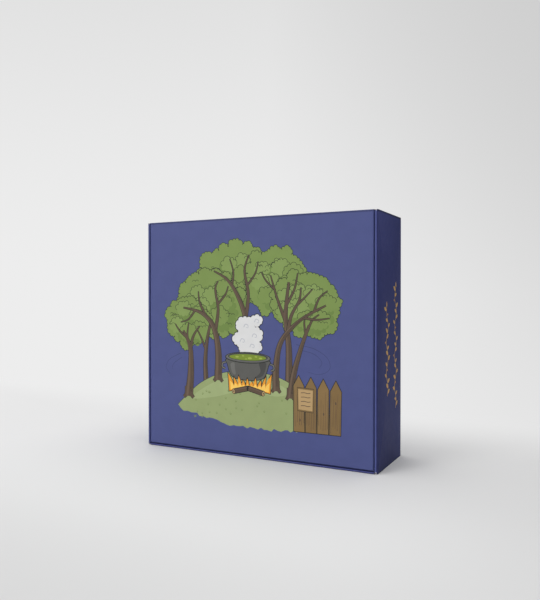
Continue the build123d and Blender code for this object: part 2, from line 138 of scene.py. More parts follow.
# Painted shade: the backdrop's darkest grey, to one side and overhead.
BACKDROP_SHADE = (206, 206, 206)
SKY_LIGHT = 0.135
DIM_SIDE = (1.07, 0.55, 0)  # the direction in which painted shade darkens the backdrop

EYE = (0.3539, -0.6934, 0.1909)  # where the camera stands
VIEW = (-0.4548, 0.8906, -0.00985)  # and which way it faces
LENS = 38.24  # focal length, in millimetres
FILM = 36  # width of the film behind it


# ---- Materials: building blocks ----
class Graph:
    """A node material or world in the making. Each method adds a node and gives back its output."""

    def __init__(self, name, kind=bpy.data.materials):
        self.owner = kind.new(name)
        self.owner.use_nodes = True
        self.tree = self.owner.node_tree
        self.shader = self.tree.nodes.get("Principled BSDF")
        self.source = self.add("ShaderNodeTexCoord").outputs
        self.place = self.source["Object"]
        self.facing = self.source["Normal"]

    def add(self, kind, **settings):
        node = self.tree.nodes.new(kind)
        for key, value in settings.items():
            setattr(node, key, value)
        return node

    def feed(self, socket, value):
        """Links an output to the socket, or sets the socket's own value."""
        if isinstance(value, bpy.types.NodeSocket):
            self.tree.links.new(value, socket)
        else:
            socket.default_value = value

    def fed(self, node, *values):
        """Feeds a node's sockets in their order."""
        for socket, value in zip(node.inputs, values):
            self.feed(socket, value)
        return node

    def math(self, operation, *values):
        return self.fed(self.add("ShaderNodeMath", operation=operation), *values).outputs[0]

    def times(self, *values):
        return self.math("MULTIPLY", *values)

    def plus(self, *values):
        return self.math("ADD", *values)

    def minus(self, *values):
        return self.math("SUBTRACT", *values)

    def vector(self, operation, *values):
        node = self.fed(self.add("ShaderNodeVectorMath", operation=operation), *values)
        return node.outputs["Value" if operation in ("DOT_PRODUCT", "LENGTH") else "Vector"]

    def axes(self, vector=None):
        """The three parts of a vector, or of the place on the surface."""
        return self.fed(self.add("ShaderNodeSeparateXYZ"), vector or self.place).outputs

    def total(self, *terms):
        """The sum of values, each times its share."""
        parts = [self.times(value, share) for value, share in terms]
        found = parts[0]
        for part in parts[1:]:
            found = self.plus(found, part)
        return found

    def noise(self, size, detail=3.0, stretch=(1, 1, 1), rough=0.5):
        """Cloudy noise from 0 to 1 with features of that size in millimetres, longer where stretch is low."""
        node = self.add("ShaderNodeTexNoise")
        self.feed(node.inputs["Vector"], self.vector("MULTIPLY", self.place, stretch))
        node.inputs["Scale"].default_value = 1 / (size * MM)
        node.inputs["Detail"].default_value = detail
        node.inputs["Roughness"].default_value = rough
        return node.outputs["Fac"]

    def fade(self, value, low, high, first=0.0, last=1.0):
        """Goes smoothly from first to last as value goes from low to high."""
        node = self.add("ShaderNodeMapRange", interpolation_type="SMOOTHSTEP")
        return self.fed(node, value, low, high, first, last).outputs[0]

    def mix(self, share, *pair):
        """Goes from the first colour to the second. A triple is a screen colour."""
        node = self.add("ShaderNodeMix", data_type="RGBA")
        self.feed(node.inputs["Factor"], share)
        for socket, colour in zip([socket for socket in node.inputs if socket.type == "RGBA"], pair):
            self.feed(socket, linear(*colour) if isinstance(colour, tuple) and len(colour) == 3 else colour)
        return [socket for socket in node.outputs if socket.type == "RGBA"][0]

    def ripple(self, value, pitch):
        """A sine from -1 to 1 along a length, with its pitch in millimetres."""
        return self.math("SINE", self.times(value, 2 * math.pi / (pitch * MM)))

    def bump(self, height, distance):
        """Tilts the surface by a height from 0 to 1, which stands for that distance in millimetres."""
        node = self.add("ShaderNodeBump")
        node.inputs["Strength"].default_value = 1.0
        node.inputs["Distance"].default_value = distance * MM
        self.feed(node.inputs["Height"], height)
        self.feed(self.shader.inputs["Normal"], node.outputs[0])

    def finish(self, **inputs):
        """Feeds the shader's sockets and gives back the material."""
        for key, value in inputs.items():
            self.feed(self.shader.inputs[key.replace("_", " ")], value)
        return self.owner

    def show(self, output, share, first, second):
        """Gives the output node a mix of two shaders."""
        node = self.fed(self.add("ShaderNodeMixShader"), share, first.outputs[0], second.outputs[0])
        self.feed(self.tree.nodes[output].inputs["Surface"], node.outputs[0])


def depths(graph, low, high):
    """How far a place is inside a box, along X, along Y and along Z."""
    found = []
    for value, first, last in zip(graph.axes(), low, high):
        offset = graph.math("ABSOLUTE", graph.minus(value, (first + last) / 2))
        found.append(graph.minus((last - first) / 2, offset))
    return found


def edge_distance(graph):
    """How far a place on the closed box's skin is from the nearest edge of the box."""
    x, y, z = depths(graph, CAD_LOW, CAD_HIGH)
    nearer = graph.math("MINIMUM", x, y)
    further = graph.math("MAXIMUM", x, y)
    return graph.math("MAXIMUM", nearer, graph.math("MINIMUM", further, z))


def inset(graph, node):
    """How far a place on a node's front or back is inside the node's outline."""
    x, _, z = depths(graph, *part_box(node))
    return graph.math("MINIMUM", x, z)


def broad_faces(graph):
    """1 where the surface looks forwards or back, else 0."""
    return graph.math("GREATER_THAN", graph.math("ABSOLUTE", graph.axes(graph.facing)[1]), 0.7)


def band_mask(graph, value, low, high):
    """1 where value lies between low and high."""
    soft = 0.05 * MM
    above = graph.fade(value, low - soft, low + soft)
    return graph.times(above, graph.fade(value, high - soft, high + soft, 1.0, 0.0))


# ---- Materials: printed board ----
def print_tone(graph, colour):
    """A printed colour with the slight mottle of ink on paper."""
    mottle = graph.fade(graph.noise(14, 4), 0.3, 0.7)
    grain = graph.fade(graph.noise(0.45, 2), 0.2, 0.8)
    share = graph.total((mottle, 0.45), (grain, 0.55))
    return graph.mix(share, scaled(colour, 0.95), scaled(colour, 1.05, 0.002))


def paper_height(graph):
    """The height of laminated paper over micro-flutes: a faint washboard, fine grain and slow waves."""
    x, y, _ = graph.axes()
    flutes = graph.ripple(graph.plus(x, y), FLUTE_PITCH)
    return graph.total((flutes, 0.12), (graph.noise(0.6, 3), 0.6), (graph.noise(70, 1), 0.8))


def print_roughness(graph):
    return graph.fade(graph.noise(6, 4), 0.25, 0.75, 0.5, 0.56)


def print_material(name, colour):
    """One printed ink under the matte laminate."""
    graph = Graph(name)
    graph.bump(paper_height(graph), GRAIN_DEPTH)
    return graph.finish(
        Base_Color=print_tone(graph, colour), Roughness=print_roughness(graph), Specular_IOR_Level=SATIN
    )


def liner_tone(graph):
    """White-lined paper with a few darker fibres."""
    fibres = graph.fade(graph.noise(0.8, 5, (1, 1, 0.35), 0.7), 0.62, 0.78)
    ground = graph.mix(graph.noise(20, 3), LINER, below(LINER, 9))
    return graph.mix(graph.times(fibres, 0.35), ground, (188, 180, 164))


def flute_tone(graph, axis, middle):
    """A cut edge: the wavy medium between two liners, across the given axis, with painted shade in the
    hollows between the flutes.
    """
    places = graph.axes()
    across = graph.math("DIVIDE", graph.minus(places[axis], middle), BOARD)
    others = [value for number, value in enumerate(places) if number != axis]
    wave = graph.times(graph.ripple(graph.plus(*others), FLUTE_PITCH), 0.27)
    off_medium = graph.math("ABSOLUTE", graph.minus(across, wave))
    medium = graph.fade(off_medium, 0.08, 0.14, 1.0, 0.0)
    liners = graph.fade(graph.math("ABSOLUTE", across), 0.34, 0.38)
    return graph.mix(liners, graph.mix(medium, FLUTE_HOLE_SHADE, MEDIUM), LINER)


def board_material(name, outward, axis, middle, ground=NIGHT, painted_end_shade=0.0, head=0.0):
    """Folded board: print on the side that outward faces, liner on the other, flutes on cut edges.

    outward holds the directions that the printed side of the panel and its folds face. axis is
    the one across the board, and middle the board's middle on it. The argument after ground is
    how much painted shade darkens the cut edges, and head how much painted shade darkens the band
    just under the box's top edge.
    """
    graph = Graph(name)
    printed = -1.0
    lined = 1.0
    for direction in outward:
        facing = graph.vector("DOT_PRODUCT", graph.facing, Vector(direction).normalized())
        printed = graph.math("MAXIMUM", printed, facing)
        lined = graph.math("MINIMUM", lined, facing)
    is_print = graph.math("GREATER_THAN", printed, 0.5)
    is_liner = graph.math("LESS_THAN", lined, -0.5)
    # Painted shade: darker blue within 1.3 mm of the box's edges and folds, and by the share head in a band
    # under the box's top edge.
    edge_shade_share = graph.fade(edge_distance(graph), 0.5 * MM, 1.3 * MM, 0.7, 0.0)
    below_head = graph.minus(CAD_HIGH.z, graph.axes()[2])
    edge_shade_share = graph.math("MAXIMUM", edge_shade_share, graph.fade(below_head, 1.3 * MM, 2.9 * MM, head, 0.0))
    patches = graph.fade(graph.noise(2.5, 5), 0.3, 0.6, 0.75, 1.0)
    # The painted shade along the edges, broken up a little by random patches.
    marked = graph.mix(graph.times(edge_shade_share, patches), print_tone(graph, ground), CREASE_SHADE_INK)
    # Painted shade on the cut edges, which face into the gaps between panels.
    cut = graph.mix(painted_end_shade, flute_tone(graph, axis, middle), CREASE_SHADE_INK)
    tone = graph.mix(is_print, graph.mix(is_liner, cut, liner_tone(graph)), marked)
    bare = graph.times(graph.minus(1.0, is_print), 0.85)
    roughness = graph.math("MAXIMUM", print_roughness(graph), bare)
    graph.bump(paper_height(graph), GRAIN_DEPTH)
    return graph.finish(Base_Color=tone, Roughness=roughness, Specular_IOR_Level=SATIN)


def liner_material(name):
    graph = Graph(name)
    graph.bump(paper_height(graph), 0.04)
    return graph.finish(Base_Color=liner_tone(graph), Roughness=0.85, Specular_IOR_Level=0.3)


def card_material(name, tint):
    """Plain card of the insert: soft mottle, short fibres and a fine tooth."""
    graph = Graph(name)
    fibres = graph.fade(graph.noise(0.9, 5, (1, 0.4, 1), 0.7), 0.6, 0.8)
    ground = graph.mix(graph.noise(25, 3), tint, below(tint, 10))
    tone = graph.mix(graph.times(fibres, 0.3), ground, below(tint, 40))
    graph.bump(graph.noise(0.5, 4), 0.05)
    return graph.finish(Base_Color=tone, Roughness=0.82, Specular_IOR_Level=0.3)


# ---- Materials: the game ----
def wood_material(name, stain, gloss):
    """Stained and lacquered wood, its grain running up the piece."""
    graph = Graph(name)
    streaks = graph.fade(graph.noise(1.1, 5, (1, 1, 0.09), 0.65), 0.3, 0.72)
    bands = graph.fade(graph.noise(4, 2, (1, 1, 0.15)), 0.35, 0.65)
    share = graph.total((streaks, 0.6), (bands, 0.4))
    tone = graph.mix(share, scaled(stain, 0.62), scaled(stain, 1.18, 0.01))
    roughness = graph.fade(graph.noise(3, 3), 0.3, 0.7, 0.3, 0.44)
    graph.bump(streaks, 0.04)
    return graph.finish(Base_Color=tone, Roughness=roughness, Coat_Weight=gloss, Coat_Roughness=0.18)


def layered_tone(graph, pitch, paper, gap):
    """The edge of a stack of sheets: pale sheets with thin dark gaps, and the ripple that draws them."""
    wander = graph.times(graph.noise(9, 2), 0.5 * pitch * MM)
    lines = graph.ripple(graph.plus(graph.axes()[1], wander), pitch)
    return graph.mix(graph.fade(lines, 0.35, 0.95), paper, gap), lines


def lattice(graph, pitch, width):
    """1 on the lines of a diamond lattice in the X and Z plane."""
    x, _, z = graph.axes()
    found = []
    for sign in ("ADD", "SUBTRACT"):
        share = graph.math("FRACT", graph.math("DIVIDE", graph.math(sign, x, z), pitch))
        off_line = graph.math("ABSOLUTE", graph.minus(share, 0.5))
        found.append(graph.fade(off_line, width / pitch, 1.6 * width / pitch, 1.0, 0.0))
    return graph.math("MAXIMUM", *found)


def deck_material(name, node, tint):
    """A deck of cards: a bordered lattice on the backs and the sheets' edges round the sides."""
    graph = Graph(name)
    depth = inset(graph, node)
    pattern = graph.mix(lattice(graph, 4.2 * MM, 0.28 * MM), tint, (214, 206, 182))
    dots = graph.fade(graph.noise(1.5, 0), 0.6, 0.63)
    pattern = graph.mix(graph.times(dots, 0.12), pattern, (220, 180, 110))
    back = graph.mix(graph.fade(depth, 3.6 * MM, 3.7 * MM), (228, 224, 212), pattern)
    back = graph.mix(band_mask(graph, depth, 4.6 * MM, 5.3 * MM), back, (208, 166, 92))
    edge, lines = layered_tone(graph, 0.3, (226, 222, 210), (166, 160, 148))
    faces = broad_faces(graph)
    graph.bump(graph.times(lines, graph.minus(1.0, faces)), 0.05)
    roughness = graph.fade(faces, 0.0, 1.0, 0.7, 0.38)
    return graph.finish(Base_Color=graph.mix(faces, edge, back), Roughness=roughness)


def leaf_material(name, node):
    """A game board leaf: a printed field with a double border, wrapped edges and a grey core."""
    graph = Graph(name)
    depth = inset(graph, node)
    meadow = graph.mix(graph.fade(graph.noise(16, 5), 0.35, 0.65), (118, 138, 84), (142, 156, 104))
    border = graph.mix(graph.fade(depth, 6.0 * MM, 6.1 * MM), (64, 76, 56), meadow)
    border = graph.mix(band_mask(graph, depth, 4.0 * MM, 4.7 * MM), border, (206, 172, 106))
    core = graph.mix(graph.noise(0.7, 4), (120, 116, 108), (148, 144, 134))
    x, _, z = graph.axes()
    linen = graph.times(graph.ripple(x, 0.7), graph.ripple(z, 0.7))
    graph.bump(linen, 0.03)
    return graph.finish(Base_Color=graph.mix(broad_faces(graph), core, border), Roughness=0.5)


def cloth_material(name, tint):
    """Woven bookbinding tape."""
    graph = Graph(name)
    x, y, z = graph.axes()
    thread = 0.55
    weave = graph.times(graph.ripple(graph.plus(x, y), thread), graph.ripple(z, thread))
    tone = graph.mix(graph.fade(weave, -0.8, 0.8), tint, scaled(tint, 1.7, 0.01))
    graph.bump(weave, 0.08)
    return graph.finish(Base_Color=tone, Roughness=0.85, Sheen_Weight=0.25)


def pages_material(name):
    graph = Graph(name)
    tone, lines = layered_tone(graph, 0.16, (232, 228, 214), (182, 176, 160))
    graph.bump(lines, 0.03)
    return graph.finish(Base_Color=tone, Roughness=0.8)


def paper_material(name, tint):
    """Uncoated coloured paper."""
    graph = Graph(name)
    fibres = graph.fade(graph.noise(0.7, 5, (0.3, 1, 1), 0.7), 0.55, 0.8)
    graph.bump(graph.noise(0.5, 4), 0.04)
    tone = graph.mix(graph.times(fibres, 0.6), tint, scaled(tint, 0.72))
    return graph.finish(Base_Color=tone, Roughness=0.75)


def wire_material(name):
    graph = Graph(name)
    scratches = graph.noise(0.3, 3, (1, 1, 0.1))
    tone = graph.mix(scratches, (150, 150, 154), (206, 206, 208))
    return graph.finish(Base_Color=tone, Metallic=1.0, Roughness=graph.fade(scratches, 0.3, 0.7, 0.22, 0.4))


def plastic_material(name, tint, roughness):
    """Moulded plastic with a faint swirl and handling marks."""
    graph = Graph(name)
    tone = graph.mix(graph.fade(graph.noise(7, 4), 0.35, 0.7), tint, scaled(tint, 0.88))
    marks = graph.noise(1.2, 5, (1, 1, 0.3))
    graph.bump(marks, 0.01)
    marked = graph.fade(marks, 0.3, 0.7, roughness, roughness + 0.14)
    return graph.finish(Base_Color=tone, Roughness=marked, Coat_Weight=0.3, Coat_Roughness=0.12)


# ---- Drawing: lines and outlines in millimetres ----
def curve(points, closed=False, steps=6):
    """Points along a smooth line through the given ones."""
    count = len(points)
    found = []
    for number in range(count if closed else count - 1):
        near = range(number - 1, number + 3)
        near = [place % count if closed else min(max(place, 0), count - 1) for place in near]
        before, first, last, after = [Vector(points[place]) for place in near]
        for step in range(steps):
            t = step / steps
            bend = (2 * before - 5 * first + 4 * last - after) * t * t
            twist = (3 * first - before - 3 * last + after) * t * t * t
            found.append((2 * first + (last - before) * t + bend + twist) / 2)
    if not closed:
        found.append(Vector(points[-1]))
    return found


def ribbon(points, first_width, last_width=None):
    """The outline of a line whose width goes evenly from first_width to last_width."""
    last_width = first_width if last_width is None else last_width
    points = [Vector(point) for point in points]
    left = []
    right = []
    for number, point in enumerate(points):
        before = points[max(number - 1, 0)]
        after = points[min(number + 1, len(points) - 1)]
        along = (after - before).normalized()
        normal = Vector((-along.y, along.x))
        spread = 1.0
        if 0 < number < len(points) - 1:
            edge = (point - before).normalized()
            spread = 1 / max(0.5, along.dot(edge))
        share = number / (len(points) - 1)
        half = (first_width + (last_width - first_width) * share) / 2 * spread
        left.append(point + normal * half)
        right.append(point - normal * half)
    return right + left[::-1]


def oval(x, z, across, tall, turn=0.0, count=24):
    """An ellipse's outline, from its two half sizes."""
    found = []
    for number in range(count):
        angle = 2 * math.pi * number / count
        place = Vector((across * math.cos(angle), tall * math.sin(angle)))
        place.rotate(Matrix.Rotation(turn, 2))
        found.append(Vector((x, z)) + place)
    return found


def pairs(outline):
    """Each point of a closed outline with the one that follows it."""
    return list(zip(outline, outline[1:] + outline[:1]))


def area(outline):
    """Twice the signed area, which is above zero where the outline runs anticlockwise."""
    total = 0.0
    for first, last in pairs(outline):
        total += first[0] * last[1] - last[0] * first[1]
    return total


class Artwork:
    """Areas of ink in painter's order, drawn in millimetres across and up a panel."""

    def __init__(self):
        self.areas = []

    def fill(self, ink, outline):
        outline = [Vector(point) for point in outline]
        if area(outline) < 0:
            outline.reverse()
        self.areas.append((ink, outline))

    def line(self, ink, points, width=LINE, last_width=None):
        self.fill(ink, ribbon(points, width, last_width))

    def around(self, ink, outline, width=LINE):
        """A line along a closed outline, laid in short runs that overlap."""
        run = 7
        count = len(outline)
        for start in range(0, count, run):
            points = [outline[number % count] for number in range(start, min(start + run, count) + 1)]
            self.line(ink, points, width)

    def drawn(self, ink, outline, width=LINE):
        """A filled area with a dark outline."""
        self.fill(ink, outline)
        self.around("line", [Vector(point) for point in outline], width)


def arch(first, last, rise, steps):
    """A half ellipse from first to last that rises on its right by a share of their distance."""
    across = last - first
    out = Vector((across.y, -across.x)) * rise
    angles = [math.pi * step / steps for step in range(steps + 1)]
    return [first + across * (1 - math.cos(angle)) / 2 + out * math.sin(angle) for angle in angles]


def bumps(path, size, dice, rise=(0.36, 0.6)):
    """Uneven outward bumps along a closed anticlockwise path, as one short curve for each."""
    lengths = [(path[(number + 1) % len(path)] - point).length for number, point in enumerate(path)]
    total = sum(lengths)
    count = max(5, round(total / size))
    stops = sorted((number + dice.uniform(-0.28, 0.28)) * total / count for number in range(count))
    knots = []
    for stop in stops:
        left = stop % total
        number = 0
        while left > lengths[number]:
            left -= lengths[number]
            number = (number + 1) % len(path)
        knots.append(path[number].lerp(path[(number + 1) % len(path)], left / lengths[number]))
    return [arch(first, last, dice.uniform(*rise), 7) for first, last in pairs(knots)]


def joined(runs):
    """One closed outline from runs that each start where the last one ended."""
    return [point for run in runs for point in run[:-1]]


def rooted(run, depth):
    """A bump's area, with a foot that reaches back under it."""
    across = run[-1] - run[0]
    back = Vector((-across.y, across.x)).normalized() * depth
    return run + [run[-1] + back, run[0] + back]


def centre_of(points):
    return sum((Vector(point) for point in points), Vector((0, 0))) / len(points)


def grown(outline, scale, shift=(0, 0)):
    """An outline scaled about its middle and shifted."""
    middle = centre_of(outline)
    return [middle + (Vector(point) - middle) * scale + Vector(shift) for point in outline]


# ---- Drawing: the woodland ----
def tuft(art, x, z, size, count, turn):
    """A short row of leaf curves."""
    spin = Matrix.Rotation(turn, 2)
    for number in range(count):
        points = []
        for step in range(5):
            angle = math.pi * step / 4
            across = (number - count / 2 + (1 - math.cos(angle)) / 2) * size
            place = Vector((across, 0.42 * size * math.sin(angle)))
            place.rotate(spin)
            points.append(Vector((x, z)) + place)
        art.line("line", points, 0.45)


def lobe(art, spot, reach, size, ink, dice):
    """A clump of leaves inside a crown, lined only along its upper side."""
    runs = bumps(oval(*spot, reach, 0.8 * reach), size, dice)
    art.fill(ink, joined(runs))
    for run in runs:
        if run[4].y > spot[1] - 0.15 * reach:
            art.line("line", run, 0.5)


def crown(art, outline, size, seed, lobes):
    """A tree's leafy crown: a bumpy edge, a shaded underside, clumps of leaves and loose leaf curves."""
    dice = random.Random(seed)
    path = curve(outline, closed=True)
    boughs = bumps(path, 1.7 * size, dice, (0.15, 0.7))
    edge = bumps(joined(boughs), 0.62 * size, dice, (0.3, 0.5))
    art.fill("leaf", path)
    for run in boughs + edge:
        art.fill("leaf", rooted(run, 3.0))
    shade = curve(grown(outline, 0.72, (4, -8)), closed=True)
    art.fill("leaf_deep", joined(bumps(shade, size * 0.9, dice)))
    centre = centre_of(path)
    spots = []
    tries = 400
    while tries > 0 and len(spots) < lobes:
        tries -= 1
        spot = centre + (dice.choice(path) - centre) * dice.uniform(0.1, 0.68)
        if all((spot - other).length > 15 for other in spots):
            spots.append(spot)
    for spot in sorted(spots, key=lambda place: -place.y):
        lit = spot.x - spot.y < centre.x - centre.y
        lobe(art, spot, dice.uniform(8.5, 12), size * 0.72, "leaf_light" if lit else "leaf", dice)
    for _ in range(lobes):
        spot = centre + (dice.choice(path) - centre) * dice.uniform(0.5, 0.86)
        tuft(art, *spot, dice.uniform(3.4, 4.6), dice.randint(2, 3), dice.uniform(-0.4, 0.4))
    for run in edge:
        art.line("line", run, 0.6)


def timber(art, limbs):
    """A trunk and its branches. A limb is its points, its width at the root and its width at the tip."""
    lines = [(curve(points, steps=5), first, last) for points, first, last in limbs]
    for points, first, last in lines:
        art.line("line", points, first + 1.5 * LINE, last + 1.3 * LINE)
    for points, first, last in lines:
        art.line("bark", points, first, last)
    for points, first, last in lines:
        if first > 5:
            lit = [point + Vector((-0.2 * first, 0)) for point in points[:-3]]
            art.line("bark_light", lit, 0.28 * first, 0.3)
            for shift in (0.12, 0.3):
                crack = [point + Vector((shift * first, 1.5)) for point in points[1:-4]]
                if len(crack) > 2:
                    art.line("line", crack, 0.45, 0.2)


def roots(x, z, wide):
    """Two limbs that spread a trunk's foot."""
    return [
        ([(x + side * 0.62 * wide, z - 1.5), (x + side * 0.3 * wide, z + 3), (x + side * 0.2 * wide, z + 12)],
         0.3 * wide, 0.55 * wide)
        for side in (-1, 1)
    ]


def woodland_crowns(art):
    """The crowns, from the furthest to the nearest: outline, size of a leaf clump, seed and clumps inside."""
    for crown_plan in (
        ([(-70, 198), (-50, 180), (-12, 180), (12, 192), (22, 216), (6, 238), (-20, 247), (-48, 240),
          (-68, 222)], 8.5, 11, 9),
        ([(0, 186), (24, 172), (56, 182), (68, 204), (60, 226), (34, 239), (10, 233), (-6, 212)], 8.2, 12, 8),
        ([(-100, 176), (-72, 150), (-36, 146), (-16, 164), (-20, 194), (-44, 213), (-74, 214), (-96, 199)],
         8.0, 13, 9),
        ([(30, 170), (48, 156), (76, 146), (94, 153), (105, 174), (99, 196), (76, 211), (46, 206), (30, 190)],
         8.4, 14, 9),
        ([(-119, 162), (-113, 143), (-92, 133), (-68, 136), (-58, 152), (-66, 172), (-88, 184), (-110, 178)],
         7.6, 15, 7),
    ):
        crown(art, *crown_plan)


def far_timber(art):
    """The trunks that stand behind the mound's brow."""
    timber(art, [
        ([(-63, 84), (-64, 112), (-61, 138), (-56, 158)], 6.5, 2.0),
        ([(-63, 122), (-70, 138), (-76, 148)], 2.4, 0.8),
    ])
    timber(art, [
        ([(47, 84), (47, 130), (43, 166), (47, 204)], 9.0, 2.2),
        ([(43, 160), (33, 184), (24, 212)], 4.0, 0.8),
        ([(44, 178), (54, 196), (58, 214)], 2.8, 0.8),
        ([(29, 196), (18, 206), (12, 216)], 1.8, 0.6),
    ])
    timber(art, [
        ([(-2, 90), (-3, 130), (-9, 164), (-20, 190), (-34, 208), (-52, 218)], 9.0, 1.0),
        ([(-9, 160), (-5, 190), (-10, 218), (-4, 236)], 4.6, 0.9),
        ([(-27, 200), (-25, 216), (-30, 232)], 2.2, 0.7),
        ([(-7, 200), (4, 214), (8, 228)], 2.0, 0.7),
    ])


def near_timber(art):
    """The trunks that are rooted in the mound."""
    timber(art, [
        ([(-46, 88), (-46, 124), (-53, 152), (-70, 168), (-96, 174)], 10.0, 1.2),
        *roots(-46, 88, 10.0),
        ([(-50, 146), (-46, 172), (-50, 196), (-46, 206)], 4.2, 0.9),
        ([(-47, 178), (-36, 190), (-32, 200)], 2.4, 0.7),
        ([(-62, 162), (-72, 180), (-74, 194)], 3.2, 0.8),
        ([(-78, 172), (-88, 160), (-100, 156)], 2.2, 0.6),
    ])
    timber(art, [
        ([(-88, 66), (-85, 96), (-86, 126), (-96, 146)], 11.5, 2.0),
        *roots(-88, 66, 11.5),
        ([(-86, 118), (-82, 138), (-72, 152)], 4.5, 0.9),
        ([(-86, 126), (-90, 140), (-88, 156)], 3.0, 0.8),
        ([(-92, 138), (-102, 146), (-108, 154)], 2.4, 0.7),
    ])
    timber(art, [
        ([(49, 73), (53, 100), (62, 130), (72, 156)], 8.5, 2.4),
        *roots(49, 73, 8.5),
        ([(70, 150), (76, 162), (84, 168)], 2.4, 0.7),
        ([(68, 144), (66, 158), (68, 168)], 2.0, 0.6),
    ])
    timber(art, [
        ([(31, 80), (31, 108), (38, 138), (62, 162), (92, 178)], 9.0, 1.2),
        *roots(31, 80, 9.0),
        ([(46, 148), (50, 166), (60, 184), (62, 198)], 4.2, 0.9),
        ([(66, 164), (80, 162), (96, 164)], 2.6, 0.7),
        ([(78, 172), (84, 186), (94, 194)], 2.2, 0.7),
        ([(55, 176), (68, 188), (76, 196)], 2.0, 0.6),
    ])


def mound(art):
    """The grassy mound, with a clean brow and a ragged lower edge."""
    dice = random.Random(31)
    brow = curve([(-104, 55), (-92, 66), (-70, 84), (-40, 97), (-4, 101), (34, 96), (58, 82), (62, 60)])
    foot = [(60, 38)]
    while foot[-1][0] > -96:
        x, z = foot[-1]
        reach = dice.uniform(3, 6)
        level = 35 + max(0.0, -x - 20) * 0.19 + max(0.0, x - 30) * 0.05
        foot.append((x - reach, level + dice.uniform(-1.6, 1.8)))
    outline = list(brow) + [Vector(point) for point in foot]
    art.fill("grass", outline)
    sunlit = [(-84, 64), (-62, 80), (-36, 91), (-4, 95), (26, 91), (48, 80), (30, 74), (-10, 78), (-50, 68)]
    art.fill("grass_light", curve(sunlit, closed=True))
    art.line("line", brow, 0.5)
    for _ in range(34):
        x = dice.uniform(-84, 46)
        z = dice.uniform(46, 86) - 0.12 * abs(x)
        lean = dice.uniform(-0.5, 0.5)
        for blade in (-1.0, 0.0, 1.0):
            tip = (x + blade * 1.4 + lean, z + 3.2 - abs(blade))
            art.line("grass_deep", [(x + blade * 0.5, z), ((x + blade + lean / 2), z + 1.6), tip], 0.6, 0.2)


def fence(art):
    """Four pickets with a plain board nailed to them."""
    dice = random.Random(41)
    wide = 14.2
    foot = 36.5
    for number in range(4):
        left = 53 + number * wide
        right = left + wide - 0.4
        lean = 0.6 * (number - 1.5)
        top = 88 - 1.2 * number
        peak = (left + wide / 2 + lean, top + 12)
        outline = [(left, foot), (right, foot), (right + lean, top), peak, (left + lean + 0.4, top)]
        art.fill("fence" if number % 2 else "fence_light", outline)
        for streak in range(5):
            x = left + (streak + 0.8) * wide / 5.6
            low = foot + dice.uniform(2, 12)
            high = top - dice.uniform(0, 18)
            middle = (x + dice.uniform(-0.8, 0.8), (low + high) / 2)
            art.line("bark", curve([(x, low), middle, (x + lean, high)], steps=3), 0.5, 0.25)
        art.fill("bark", oval(left + wide * 0.55, foot + dice.uniform(8, 44), 0.9, 1.7, count=12))
        for first, last in pairs(outline):
            art.line("line", [first, last], 0.8)
        for corner in outline:
            art.fill("line", oval(*corner, 0.4, 0.4, count=10))
    board = [(58.5, 61), (76.5, 60), (77, 84.5), (58, 85.5)]
    for ink, scale in (("line", 1.09), ("fence", 1.05), ("sign", 0.93)):
        art.fill(ink, grown(board, scale))
    for level in (66, 70.8, 75.6, 80.4):
        rule = curve([(62, level), (66, level + 0.4), (70, level - 0.2), (73.5, level + 0.2)], steps=3)
        art.line("bark", rule, 0.8)


def blaze(tongues, rise):
    """The outline of a fire's tongues, up to the given share of their height.

    A tongue is its foot's x, its tip's x and its tip's z.
    """
    level = 80
    reach = 4 * rise
    valleys = [((here[0] + there[0]) / 2, level + reach) for here, there in zip(tongues, tongues[1:])]
    valleys = [(tongues[0][0] - reach, level - reach), *valleys, (tongues[-1][0] + reach, level - reach)]
    outline = curve([valleys[-1], (-5, level + 0.5), valleys[0]])[:-1]
    for (foot, tip, top), left, right in zip(tongues, valleys, valleys[1:]):
        peak = Vector((foot + rise * (tip - foot), level + rise * (top - level)))
        lean = (tip - foot) * 0.12
        for first, last, swell in ((Vector(left), peak, -0.5), (peak, Vector(right), 0.5)):
            outline += curve([first, first.lerp(last, 0.5) + Vector((swell - lean, 0)), last], steps=4)[:-1]
    return outline


def log(art, x, z, length, turn):
    """A log with a cut end."""
    along = Vector((math.cos(turn), math.sin(turn))) * length / 2
    first = Vector((x, z)) - along
    last = Vector((x, z)) + along
    art.line("line", [first, last], 6.6)
    art.fill("line", oval(*first, 2.6, 3.3, turn))
    art.line("bark", [first, last], 5.2)
    lit = Vector((0, 1.1))
    art.line("bark_light", [first + lit, last + lit], 0.9)
    for ink, across, tall in (("line", 2.2, 3.3), ("sign", 1.6, 2.6), ("bark", 0.7, 1.2)):
        art.fill(ink, oval(*last, across, tall, turn))


def campfire(art):
    """Flames that lick the pot's foot, over two crossed logs."""
    tongues = [(-27, -33, 99), (-21.5, -25, 94), (-16, -18.5, 96), (-11, -12.5, 91), (-6, -6.5, 93.5),
               (-1, 0, 90), (4, 4.5, 94.5), (9.5, 12, 92), (15, 18.5, 97), (20, 26, 100)]
    art.drawn("flame", blaze(tongues, 1.0), 0.9)
    art.fill("flame_light", blaze(tongues, 0.45))
    log(art, -15, 78.5, 20, math.pi + 0.24)
    log(art, 5, 78.5, 20, -0.24)


